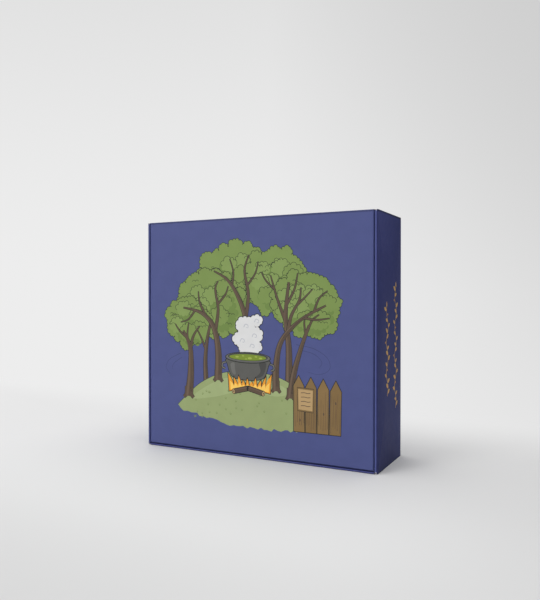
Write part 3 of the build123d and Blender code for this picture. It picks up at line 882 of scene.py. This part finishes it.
def steam(art):
    """A puff of steam from round clouds, with a small curl in each."""
    puffs = ((-9, 127, 8, 6), (3, 130, 9, 7), (-14, 138, 11, 8), (1, 143, 12, 9), (-9, 154, 12, 9),
             (6, 160, 7, 5.5))
    rims = [bumps(oval(*puff), 6.5, random.Random(seed), (0.3, 0.42)) for seed, puff in enumerate(puffs, 61)]
    for rim in rims:
        for run in rim:
            art.line("line", run, 1.9)
    for rim in rims:
        art.fill("steam", joined(rim))
    for x, z in ((-13, 136), (3, 142), (-8, 153), (6, 159), (0, 130)):
        curl = [(x - 3, z - 1), (x - 1, z + 2.4), (x + 2.6, z + 1.2), (x + 2.2, z - 1.6), (x + 0.2, z - 1.2)]
        art.line("steam_deep", curve(curl), 0.9, 0.5)


def kettle(art):
    """A plain round-bellied cooking pot, full of brew."""
    middle = -6.0
    body = [(-29, 96), (-22, 91.5), (middle, 90), (10, 91.5), (17, 96), (21.5, 108), (22, 114),
            (middle, 116), (-34, 114), (-33.5, 108)]
    shade = [(4, 93.5), (14, 96.5), (18.5, 108), (17, 112), (9, 111), (11, 101)]
    shine = [(-29, 108), (-26.5, 98), (-22, 96.5), (-23, 104), (-24, 110)]
    art.drawn("iron", curve(body, closed=True), 0.9)
    art.fill("iron_deep", curve(shade, closed=True))
    art.fill("iron_light", curve(shine, closed=True))
    art.drawn("iron", oval(middle, 116.5, 30, 6.2, count=44), 0.9)
    art.fill("iron_light", oval(middle, 117.1, 28.6, 5.2, count=44))
    art.drawn("iron_deep", oval(middle, 117.4, 26.2, 4.5, count=40), 0.5)
    art.fill("brew", oval(middle, 116.9, 24.6, 3.6, count=40))
    bubbles = ((-20, 117, 2.4), (-12, 118.4, 1.6), (-3, 116, 2.8), (5, 118, 1.8), (11, 116.4, 2.3),
               (-8, 115, 1.4))
    for x, z, size in bubbles:
        art.fill("brew_light", oval(x, z, size, size * 0.45, count=16))
    for side in (-1, 1):
        x = middle + side * 29.2
        handle = curve([(x, 110), (x + side * 4.2, 109), (x + side * 5.0, 104.5), (x + side * 1.0, 102.5)])
        art.line("line", handle, 3.0)
        art.line("iron_light", handle, 1.5)


def swirls(art):
    """Thin curls of wind on either side of the trees."""
    for points in (
        [(-100, 118), (-116, 110), (-122, 100), (-116, 92)],
        [(-98, 113), (-110, 105), (-113, 98)],
        [(56, 134), (78, 130), (94, 120), (96, 108), (84, 102), (70, 104)],
        [(62, 128), (78, 124), (87, 116), (84, 109)],
    ):
        art.line("swirl", curve(points), 0.55, 0.3)


def front_art():
    """The lid's picture: a round-crowned wood on a mound, a cooking pot on a fire and a fence."""
    art = Artwork()
    for draw in (swirls, woodland_crowns, far_timber, mound, near_timber, steam, kettle, campfire, fence):
        draw(art)
    return art


# ---- Drawing: ornament ----
def sprig(art, root, turn, size, ink):
    """A pointed leaf on a short stalk."""
    spin = Matrix.Rotation(turn, 2)
    outline = curve([(0, 0), (0.3 * size, 0.24 * size), (0.7 * size, 0.2 * size), (size, 0),
                     (0.7 * size, -0.2 * size), (0.3 * size, -0.24 * size)], closed=True, steps=4)
    for point in outline:
        point.rotate(spin)
    art.fill(ink, [Vector(root) + point for point in outline])


def vine(art, across, low, high, swing, seed):
    """An upright wavy stem with leaves and berries on alternate sides."""
    dice = random.Random(seed)
    waves = (high - low) / 34

    def along(share):
        return Vector((across + swing * math.sin(share * waves * 2 * math.pi), low + (high - low) * share))

    stem = [along(number / 60) for number in range(61)]
    count = round((high - low) / 6.2)
    marks = []
    berries = []
    for number in range(count):
        root = along((number + 0.5) / count)
        side = 1 if number % 2 == 0 else -1
        if number % 5 == 4:
            berries.append(root + Vector((side * 3.4, 1.2)))
        else:
            marks.append((root, math.pi / 2 - side * dice.uniform(1.0, 1.25), dice.uniform(6.6, 8.6)))
    marks.append((along(1.0), math.pi / 2, 6.5))
    for shift, ink in ((Vector((0.4, -0.5)), "shade"), (Vector((0, 0)), "gold")):
        art.line(ink, [point + shift for point in stem], 1.1, 0.7)
        for root, lean, size in marks:
            sprig(art, root + shift, lean, size, ink)
    for berry in berries:
        art.fill("gold_deep", oval(*berry, 1.7, 1.4, count=16))
        art.fill("gold", oval(berry.x - 0.2, berry.y + 0.2, 1.1, 0.9, count=16))


def side_art(mirror):
    """Two upright vines, the front one shorter. mirror is -1 where across runs from back to front."""
    art = Artwork()
    vine(art, mirror * -10, 78, 176, 3.4, 71)
    vine(art, mirror * 22, 60, 198, 3.4, 72)
    return art


def book_art():
    """The rulebook's cover: a framed oval with one tree, and a row of sprigs below it."""
    low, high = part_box("rulebook_cover")
    left, foot, right, head = low.x / MM, low.z / MM, high.x / MM, high.z / MM
    middle = (left + right) / 2
    art = Artwork()
    for inset_by, width, ink in ((6, 1.4, "gold"), (9.5, 0.6, "cream")):
        low = Vector((left + inset_by, foot + inset_by))
        high = Vector((right - inset_by, head - inset_by))
        corners = [low, Vector((high.x, low.y)), high, Vector((low.x, high.y))]
        for first, last in pairs(corners):
            reach = (last - first).normalized() * width / 2
            art.line(ink, [first - reach, last + reach], width)
    centre = foot + 0.56 * (head - foot)

    def placed(*points):
        return [(middle + x, centre + z) for x, z in points]

    art.fill("gold", oval(middle, centre, 58, 70, count=72))
    art.fill("cream", oval(middle, centre, 55.5, 67.5, count=72))
    ground = placed((-47, -34), (-20, -28), (22, -29), (47, -35), (24, -58), (-24, -58))
    art.fill("grass", curve(ground, closed=True))
    leaves = placed((-40, 8), (-26, -10), (6, -14), (34, -6), (42, 16), (30, 38), (4, 50), (-26, 42))
    crown(art, leaves, 8.5, 81, 12)
    timber(art, [
        (placed((0, -42), (1, -14), (-4, 10), (0, 36)), 12, 1.4),
        (placed((-1, -8), (-16, 8), (-28, 16)), 4.5, 0.9),
        (placed((0, -2), (14, 12), (26, 26)), 4.2, 0.9),
        (placed((12, 10), (24, 8), (34, 10)), 2.4, 0.7),
    ])
    level = foot + 26
    for side in (-1, 1):
        for number in range(5):
            for lean in (0.5, -0.5):
                turn = lean if side > 0 else math.pi + lean
                sprig(art, (middle + side * (7 + number * 8), level), turn, 7.5, "gold")
        art.line("gold", [(middle + side * 5, level), (middle + side * 47, level)], 0.9, 0.5)
    art.fill("gold", oval(middle, level, 2.4, 2.4))
    return art


# ---- New pieces ----
def new_object(name, data):
    """A scene object that shows a mesh, a light or a camera."""
    found = bpy.data.objects.new(name, data)
    bpy.context.scene.collection.objects.link(found)
    return found


def add_piece(name, shell, materials, node, body=None):
    """A new piece from a bmesh, in place of a CAD node and riding on a body."""
    mesh = bpy.data.meshes.new(name)
    shell.to_mesh(mesh)
    shell.free()
    for material in materials:
        mesh.materials.append(material)
    for face in mesh.polygons:
        face.use_smooth = True
    mesh.set_sharp_from_angle(angle=SHARP)
    piece = new_object(name, mesh)
    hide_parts(node)
    if body:
        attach(piece, body)
    return piece


def face_loop(faces):
    """The corners round a patch of faces, in order."""
    patch = set(faces)
    follow = {}
    for face in faces:
        for loop in face.loops:
            if sum(near in patch for near in loop.edge.link_faces) == 1:
                follow[loop.vert] = loop.link_loop_next.vert
    corners = [next(iter(follow))]
    while follow[corners[-1]] != corners[0]:
        corners.append(follow[corners[-1]])
    return corners


def inside(point, outline):
    """Whether a point is inside a closed outline."""
    found = False
    for first, last in pairs(outline):
        if (first[1] > point[1]) != (last[1] > point[1]):
            cross = first[0] + (point[1] - first[1]) / (last[1] - first[1]) * (last[0] - first[0])
            found ^= point[0] < cross
    return found


def top_layers(lines, places, cells, from_faces):
    """For each cell, the last drawn outline that covers it.

    The cut marks a wrong region for an outline now and then. Such a region reaches past the
    outline's own box, and its cells are then tested one by one.
    """
    centres = [centre_of([places[number] for number in cell]) for cell in cells]
    slack = 0.01
    boxes = []
    for outline in lines:
        across, up = zip(*outline)
        boxes.append((min(across) - slack, max(across) + slack, min(up) - slack, max(up) + slack))

    def boxed(centre, number):
        left, right, low, high = boxes[number]
        return left < centre.x < right and low < centre.y < high

    covers = [set(origins) for origins in from_faces]
    known = list(zip(covers, centres))
    for number in {number for cover, centre in known for number in cover if not boxed(centre, number)}:
        for cover, centre in known:
            cover.discard(number)
            if boxed(centre, number) and inside(centre, lines[number]):
                cover.add(number)
    return [max(cover, default=0) for cover in covers]


INK_MATERIALS = {}


def ink_material(ink):
    if ink not in INK_MATERIALS:
        INK_MATERIALS[ink] = print_material("ink_" + ink, INKS[ink])
    return INK_MATERIALS[ink]


def printed_piece(name, node, right, art, ground, body):
    """A CAD node's copy whose flat outer face is cut into areas of ink, still one closed mesh.

    right is the direction that runs to the right on the printed face, seen from outside.
    """
    right = Vector(right)
    outward = right.cross(UP)
    shell = bmesh.new()
    shell.from_mesh(NODES[node].data)
    bmesh.ops.remove_doubles(shell, verts=shell.verts, dist=WELD / 2 * MM)
    level = max(vert.co.dot(outward) for vert in shell.verts)
    outer = {vert for vert in shell.verts if level - vert.co.dot(outward) < 0.01 * MM}
    flat = [face for face in shell.faces if face.normal.dot(outward) > 0.999 and outer.issuperset(face.verts)]
    rim = face_loop(flat)
    bmesh.ops.delete(shell, geom=flat, context="FACES_ONLY")
    lines = [[(vert.co.dot(right) / MM, vert.co.z / MM) for vert in rim]]
    lines += [outline for ink, outline in art.areas]
    points = []
    faces = []
    for outline in lines:
        faces.append(list(range(len(points), len(points) + len(outline))))
        points += [Vector((point[0], point[1])) for point in outline]
    cut = delaunay_2d_cdt(points, [], faces, 1, WELD, True)
    places, _, cells, from_points, _, from_faces = cut
    corners = []
    for place, origins in zip(places, from_points):
        known = [number for number in origins if number < len(rim)]
        if known:
            corners.append(rim[known[0]])
        else:
            corners.append(shell.verts.new(outward * level + right * place.x * MM + UP * place.y * MM))
    inks = sorted({ink for ink, outline in art.areas})
    for cell, top in zip(cells, top_layers(lines, places, cells, from_faces)):
        face = shell.faces.new([corners[number] for number in cell])
        face.material_index = 0 if top == 0 else 1 + inks.index(art.areas[top - 1][0])
    bmesh.ops.delete(shell, geom=[edge for edge in shell.edges if edge.is_wire], context="EDGES")
    bmesh.ops.remove_doubles(shell, verts=shell.verts, dist=WELD * MM)
    add_piece(name, shell, [ground] + [ink_material(ink) for ink in inks], node, body)


def join_rings(shell, rings, slots=(0,)):
    """Faces between one ring of corners and the next. A ring of one corner is a tip."""
    for lower, upper in zip(rings, rings[1:]):
        count = max(len(lower), len(upper))
        for here in range(count):
            there = (here + 1) % count
            corners = [ring[number % len(ring)] for ring, number in
                       ((lower, here), (lower, there), (upper, there), (upper, here))]
            face = shell.faces.new(list(dict.fromkeys(corners)))
            face.material_index = slots[here % len(slots)]


def fold_strip(name, centre, turn, node):
    """The board's own bend between two panels.

    centre is the (y, z) place that the bend is drawn about, and turn is 1 where it bends over the
    top and -1 under the bottom. Its outer skin runs round a quarter circle, with the steps closest
    together in a narrow band at the middle of the fold.
    """
    inner = CREASE_ROOM
    outer = inner + BOARD
    middle = math.pi / 4
    band = math.asin(inner / outer / math.sqrt(2))
    stops = (0, middle - band, middle + band, 2 * middle)
    steps = []
    for first, last, count in zip(stops, stops[1:], (6, 12, 6)):
        steps += [first + (last - first) * number / count for number in range(count)]
    steps.append(stops[-1])
    first = Vector((0, centre[0], centre[1] + turn * inner))
    last = Vector((0, centre[0] - inner, centre[1]))
    left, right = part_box("lid_left_dust_flap")[0].x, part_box("lid_right_dust_flap")[1].x
    shell = bmesh.new()
    rings = []
    for number, angle in enumerate(steps):
        skin = Vector((0, centre[0] - math.sin(angle) * outer, centre[1] + turn * math.cos(angle) * outer))
        lining = first.lerp(last, number / (len(steps) - 1))
        places = ((left, skin), (right, skin), (right, lining), (left, lining))
        rings.append([shell.verts.new((x, point.y, point.z)) for x, point in places])
    join_rings(shell, rings, (0, 2, 1, 2))
    for ring in (rings[0], rings[-1]):
        shell.faces.new(ring).material_index = 2
    bmesh.ops.recalc_face_normals(shell, faces=shell.faces)
    piece = add_piece(name, shell, [SHADED_BEND_PRINT, LINING, CORE], node)
    if turn > 0:
        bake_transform(piece)
    else:
        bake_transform(piece)


def turned_piece(name, profile, places, axis, material, node, steps=40):
    """Solids of revolution, one at each place, joined in one piece.

    profile is (radius, height) pairs in millimetres from the foot up, starting and ending on the axis.
    """
    shell = bmesh.new()
    side = axis.orthogonal().normalized()
    for place in places:
        rings = []
        for radius, height in profile:
            angles = [2 * math.pi * step / steps for step in range(steps if radius else 1)]
            turns = [Matrix.Rotation(angle, 3, axis) for angle in angles]
            middle = place + axis * height * MM
            rings.append([shell.verts.new(middle + turn @ side * radius * MM) for turn in turns])
        join_rings(shell, rings)
    bmesh.ops.recalc_face_normals(shell, faces=shell.faces)
    add_piece(name, shell, [material], node, "box")


def dress(node, material):
    """Puts one material on a carried-over CAD node."""
    if not NODES[node].material_slots:
        NODES[node].data.materials.append(material)
    for slot in NODES[node].material_slots:
        slot.material = material


# ---- The box's board ----
# Painted shade: the print on the lid's bends is darker than the box's ground, as if the bends lay in shade.
SHADED_BEND_PRINT = print_material("shaded_bend_print", (57, 63, 104))
LINING = liner_material("white_liner")
CORE = card_material("board_core", (78, 78, 92))


def board_finishes():
    """Board material on each folded panel, from the directions that its printed side faces."""
    low, high = CAD_LOW, CAD_HIGH
    skin = BOARD / 2
    lid_middle = sum(corner.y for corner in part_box("lid_panel")) / 2
    flap_middle = sum(corner.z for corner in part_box("tuck_flap")) / 2
    # Each entry: directions of the print, axis across the board, middle of the board, ground, share of
    # painted shade on the cut ends and share of painted shade under the top edge.
    plan = {
        "back_panel": ([(0, 1, 0)], 1, high.y - skin),
        "top_wall": ([(0, 0, 1), (0, 1, 1)], 2, high.z - skin, NIGHT, 0.7),
        "bottom_wall_outer": ([(0, 0, -1), (0, -1, -1), (0, 1, -1)], 2, low.z + skin, SHADED_UNDER_NIGHT),
        "bottom_wall_inner": ([(0, 0, 1), (0, -1, 1)], 2, low.z + 3 * skin, SHADED_UNDER_NIGHT),
        "tuck_flap": ([(0, 0, -1)], 2, flap_middle),
        "lid_panel": ([(0, -1, 0)], 1, lid_middle, NIGHT, 0.85, 0.8),
    }
    for name, side in (("left", -1), ("right", 1)):
        wall = high.x - skin if side > 0 else low.x + skin
        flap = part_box(f"lid_{name}_dust_flap")
        flap_wall = flap[1].x - skin if side > 0 else flap[0].x + skin
        out, front, back = (side, 0, 0), (side, -1, 0), (side, 1, 0)
        plan[f"{name}_wall_outer"] = ([out, front, back], 0, wall, SHADED_SIDE_NIGHT, 0.85, 0.8)
        plan[f"{name}_wall_inner"] = ([(-side, 0, 0), (-side, -1, 0)], 0, wall - side * 4 * skin)
        plan[f"top_wall_{name}_tab"] = ([out, (side, 0, 1)], 0, wall - side * 2 * skin)
        plan[f"bottom_wall_{name}_tab"] = ([out, (side, 0, -1)], 0, wall - side * 2 * skin)
        plan[f"lid_{name}_dust_flap"] = ([out, front], 0, flap_wall)
    found = {node: board_material("board_" + node, *how) for node, how in plan.items()}
    for node, material in found.items():
        dress(node, material)
    return found


def printed_panels(boards):
    """The picture on the lid and the vines on the side walls."""
    panels = [("lid_panel_print", "lid_panel", (1, 0, 0), front_art(), "lid")]
    for name, side in (("left", -1), ("right", 1)):
        panels.append((f"{name}_wall_print", f"{name}_wall_outer", (0, side, 0), side_art(side), "box"))
    for name, node, right, art, body in panels:
        printed_piece(name, node, right, art, boards[node], body)


def creases():
    """The bends at the lid's hinge and at its tuck flap."""
    lid_low, lid_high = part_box("lid_panel")
    top_bend = (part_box("top_wall")[0].y, lid_high.z)
    foot_bend = (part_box("tuck_flap")[0].y, lid_low.z)
    fold_strip("lid_hinge_bend", top_bend, 1, "lid_hinge_crease")
    fold_strip("tuck_flap_bend", foot_bend, -1, "tuck_crease")


# ---- The contents ----
def plain_finishes():
    """Materials for the carried-over pieces of the insert and the game."""
    card = card_material("insert_card", (236, 234, 228))
    for node in NODES:
        if node.startswith("insert_"):
            dress(node, card)
    for number in range(1, 5):
        node = f"game_board_leaf_{number}"
        dress(node, leaf_material(f"leaf_print_{number}", node))
    dress("game_board_tapes", cloth_material("tape_cloth", (34, 38, 60)))
    dress("rulebook_pages", pages_material("page_edges"))
    dress("rulebook_staples", wire_material("staple_wire"))
    band = paper_material("band_paper", (204, 156, 84))
    for name, tint in (("lower", (66, 78, 128)), ("upper", (132, 54, 52))):
        dress(f"{name}_card_deck", deck_material(f"{name}_deck_cards", f"{name}_card_deck", tint))
        dress(f"{name}_deck_band", band)
    ivory = plastic_material("ivory_plastic", (226, 220, 202), 0.22)
    for number in (1, 2):
        dress(f"die_{number}", ivory)
    dress("dice_pips", plastic_material("pip_ink", (30, 30, 36), 0.35))


def rulebook():
    cover = print_material("cover_ground", (58, 74, 66))
    dress("rulebook_cover", cover)
    printed_piece("rulebook_cover_print", "rulebook_cover", (1, 0, 0), book_art(), cover, "box")


def pawns():
    """Turned pawns with a rounded foot, a waist, a collar and a ball head."""
    stains = {"red": (176, 40, 34), "yellow": (222, 168, 38), "green": (44, 112, 54), "blue": (38, 72, 148)}
    low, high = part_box("pawns_red")
    foot = (high.y - low.y) / 2 / MM
    tall = (high.z - low.z) / MM
    head = foot * 0.73
    neck = tall - 2 * head
    body = [(1, 2.2), (0.9, 3.2), (0.62, 5.6), (0.42, 11.0), (0.34, neck - 1.0), (0.36, neck + 0.2)]
    collar = [(0.58, neck + 0.5), (0.6, neck + 0.9), (0.54, neck + 1.3)]
    profile = [(0, 0), (0.93, 0), (0.98, 0.25), (1, 0.7), *curve(body, steps=4), *collar]
    profile = [(foot * across, up) for across, up in profile]
    for number in range(2, 12):
        angle = math.pi * (number / 12 - 0.5)
        profile.append((head * math.cos(angle), tall - head + head * math.sin(angle)))
    profile.append((0, tall))
    for colour, stain in stains.items():
        node = f"pawns_{colour}"
        low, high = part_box(node)
        middle = (low.y + high.y) / 2
        places = [Vector((x, middle, low.z)) for x in (low.x + foot * MM, high.x - foot * MM)]
        material = wood_material(f"stain_{colour}", stain, 0.5)
        turned_piece(f"{node}_turned", profile, places, UP, material, node)


def counters():
    """Stacks of wooden discs with rounded rims and a shallow turned groove."""
    wood = wood_material("plain_wood", (196, 152, 100), 0.25)
    count = 6
    for number in (1, 2):
        node = f"counter_stack_{number}"
        low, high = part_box(node)
        radius = (high.x - low.x) / 2 / MM
        thick = (high.y - low.y) / MM / count
        half = [(0, 0), (radius * 0.66, 0), (radius * 0.69, 0.25), (radius * 0.74, 0.25), (radius * 0.77, 0),
                (radius - 0.7, 0), (radius - 0.2, 0.2), (radius, 0.7)]
        profile = half + [(across, thick - up) for across, up in reversed(half)]
        profile = [(across, up * 0.98 + 0.01 * thick) for across, up in profile]
        middle = Vector(((low.x + high.x) / 2, 0, (low.z + high.z) / 2))
        places = [middle + Vector((0, low.y + step * thick * MM, 0)) for step in range(count)]
        turned_piece(f"{node}_turned", profile, places, Vector((0, 1, 0)), wood, node, 56)


# ---- Floor, light and camera ----
def backdrop_tone(graph, aside):
    """The backdrop's grey, with painted shade that dims it to one side and overhead."""
    return graph.mix(graph.fade(aside, 0.0, 0.95), BACKDROP, BACKDROP_SHADE)


def stage():
    """A pale floor that runs out into the same pale grey as the world."""
    mesh = bpy.data.meshes.new("floor")
    reach = 60.0  # far enough for the floor's end to lie at the horizon
    corners = [(-reach, -reach, 0), (reach, -reach, 0), (reach, reach, 0), (-reach, reach, 0)]
    mesh.from_pydata(corners, [], [(0, 1, 2, 3)])
    floor = new_object("floor", mesh)
    graph = Graph("floor_paint")
    x, y, _ = graph.axes()
    seen = graph.add("ShaderNodeLightPath").outputs["Is Camera Ray"]
    # Painted shade: the floor's paint darkens towards the front and to the right.
    open_floor = graph.times(graph.fade(y, -0.55, -0.15), graph.fade(x, 0.16, 0.42, 1.0, 0.3))
    paint = graph.mix(seen, FLOOR_BOUNCE, graph.mix(open_floor, FLOOR_SHADE, FLOOR))
    mesh.materials.append(graph.finish(Base_Color=paint, Roughness=0.7, Specular_IOR_Level=0.2))
    away = graph.vector("LENGTH", graph.place)
    aside = graph.vector("DOT_PRODUCT", graph.place, DIM_SIDE)
    aside = graph.math("DIVIDE", aside, graph.plus(away, 1.0))
    far = graph.add("ShaderNodeEmission")
    graph.feed(far.inputs["Color"], backdrop_tone(graph, aside))
    # For the camera the floor turns into glowing backdrop grey with distance and behind the box; behind the
    # box this paints out the box's cast shadow.
    beyond = graph.math("MAXIMUM", graph.fade(away, 0.18, 1.2), graph.fade(y, 0.04, 0.3))
    graph.show("Material Output", graph.times(seen, beyond), graph.shader, far)


def world():
    """Even light from all round. The backdrop looks a little brighter than the light that it gives."""
    graph = Graph("sky", bpy.data.worlds)
    bpy.context.scene.world = graph.owner
    light = graph.tree.nodes["Background"]
    light.inputs["Color"].default_value = (1, 1, 1, 1)
    light.inputs["Strength"].default_value = SKY_LIGHT
    view = graph.source["Generated"]
    aside = graph.math("MAXIMUM", graph.vector("DOT_PRODUCT", view, DIM_SIDE), 0)
    seen = graph.add("ShaderNodeBackground")
    graph.feed(seen.inputs["Color"], backdrop_tone(graph, graph.plus(aside, graph.axes(view)[2])))
    graph.show("World Output", graph.add("ShaderNodeLightPath").outputs["Is Camera Ray"], light, seen)


def aim(thing, place, forward):
    """Puts a lamp or the camera at a place, facing forward."""
    thing.location = place
    thing.rotation_euler = Vector(forward).to_track_quat("-Z", "Y").to_euler()


def lamp(name, place, target, size, power):
    """A square soft light that faces its target."""
    light = bpy.data.lights.new(name, "AREA")
    light.size = size
    light.energy = power
    aim(new_object(name, light), place, Vector(target) - Vector(place))


def camera():
    """Eye height a little above the box's middle, to the right of it, with a normal lens."""
    data = bpy.data.cameras.new("camera")
    data.lens = LENS
    data.sensor_width = FILM
    viewer = new_object("camera", data)
    aim(viewer, EYE, VIEW)
    bpy.context.scene.camera = viewer


printed_panels(board_finishes())
creases()
plain_finishes()
rulebook()
pawns()
counters()
stage()
world()
lamp("key_light", place=(-2.6, -5.0, 0.95), target=(0, 0, 0.12), size=2.6, power=272)
lamp("top_light", place=(-0.3, 0, 3.0), target=(0, 0, 0), size=4.0, power=112)
camera()
bpy.context.scene.view_settings.view_transform = "Standard"
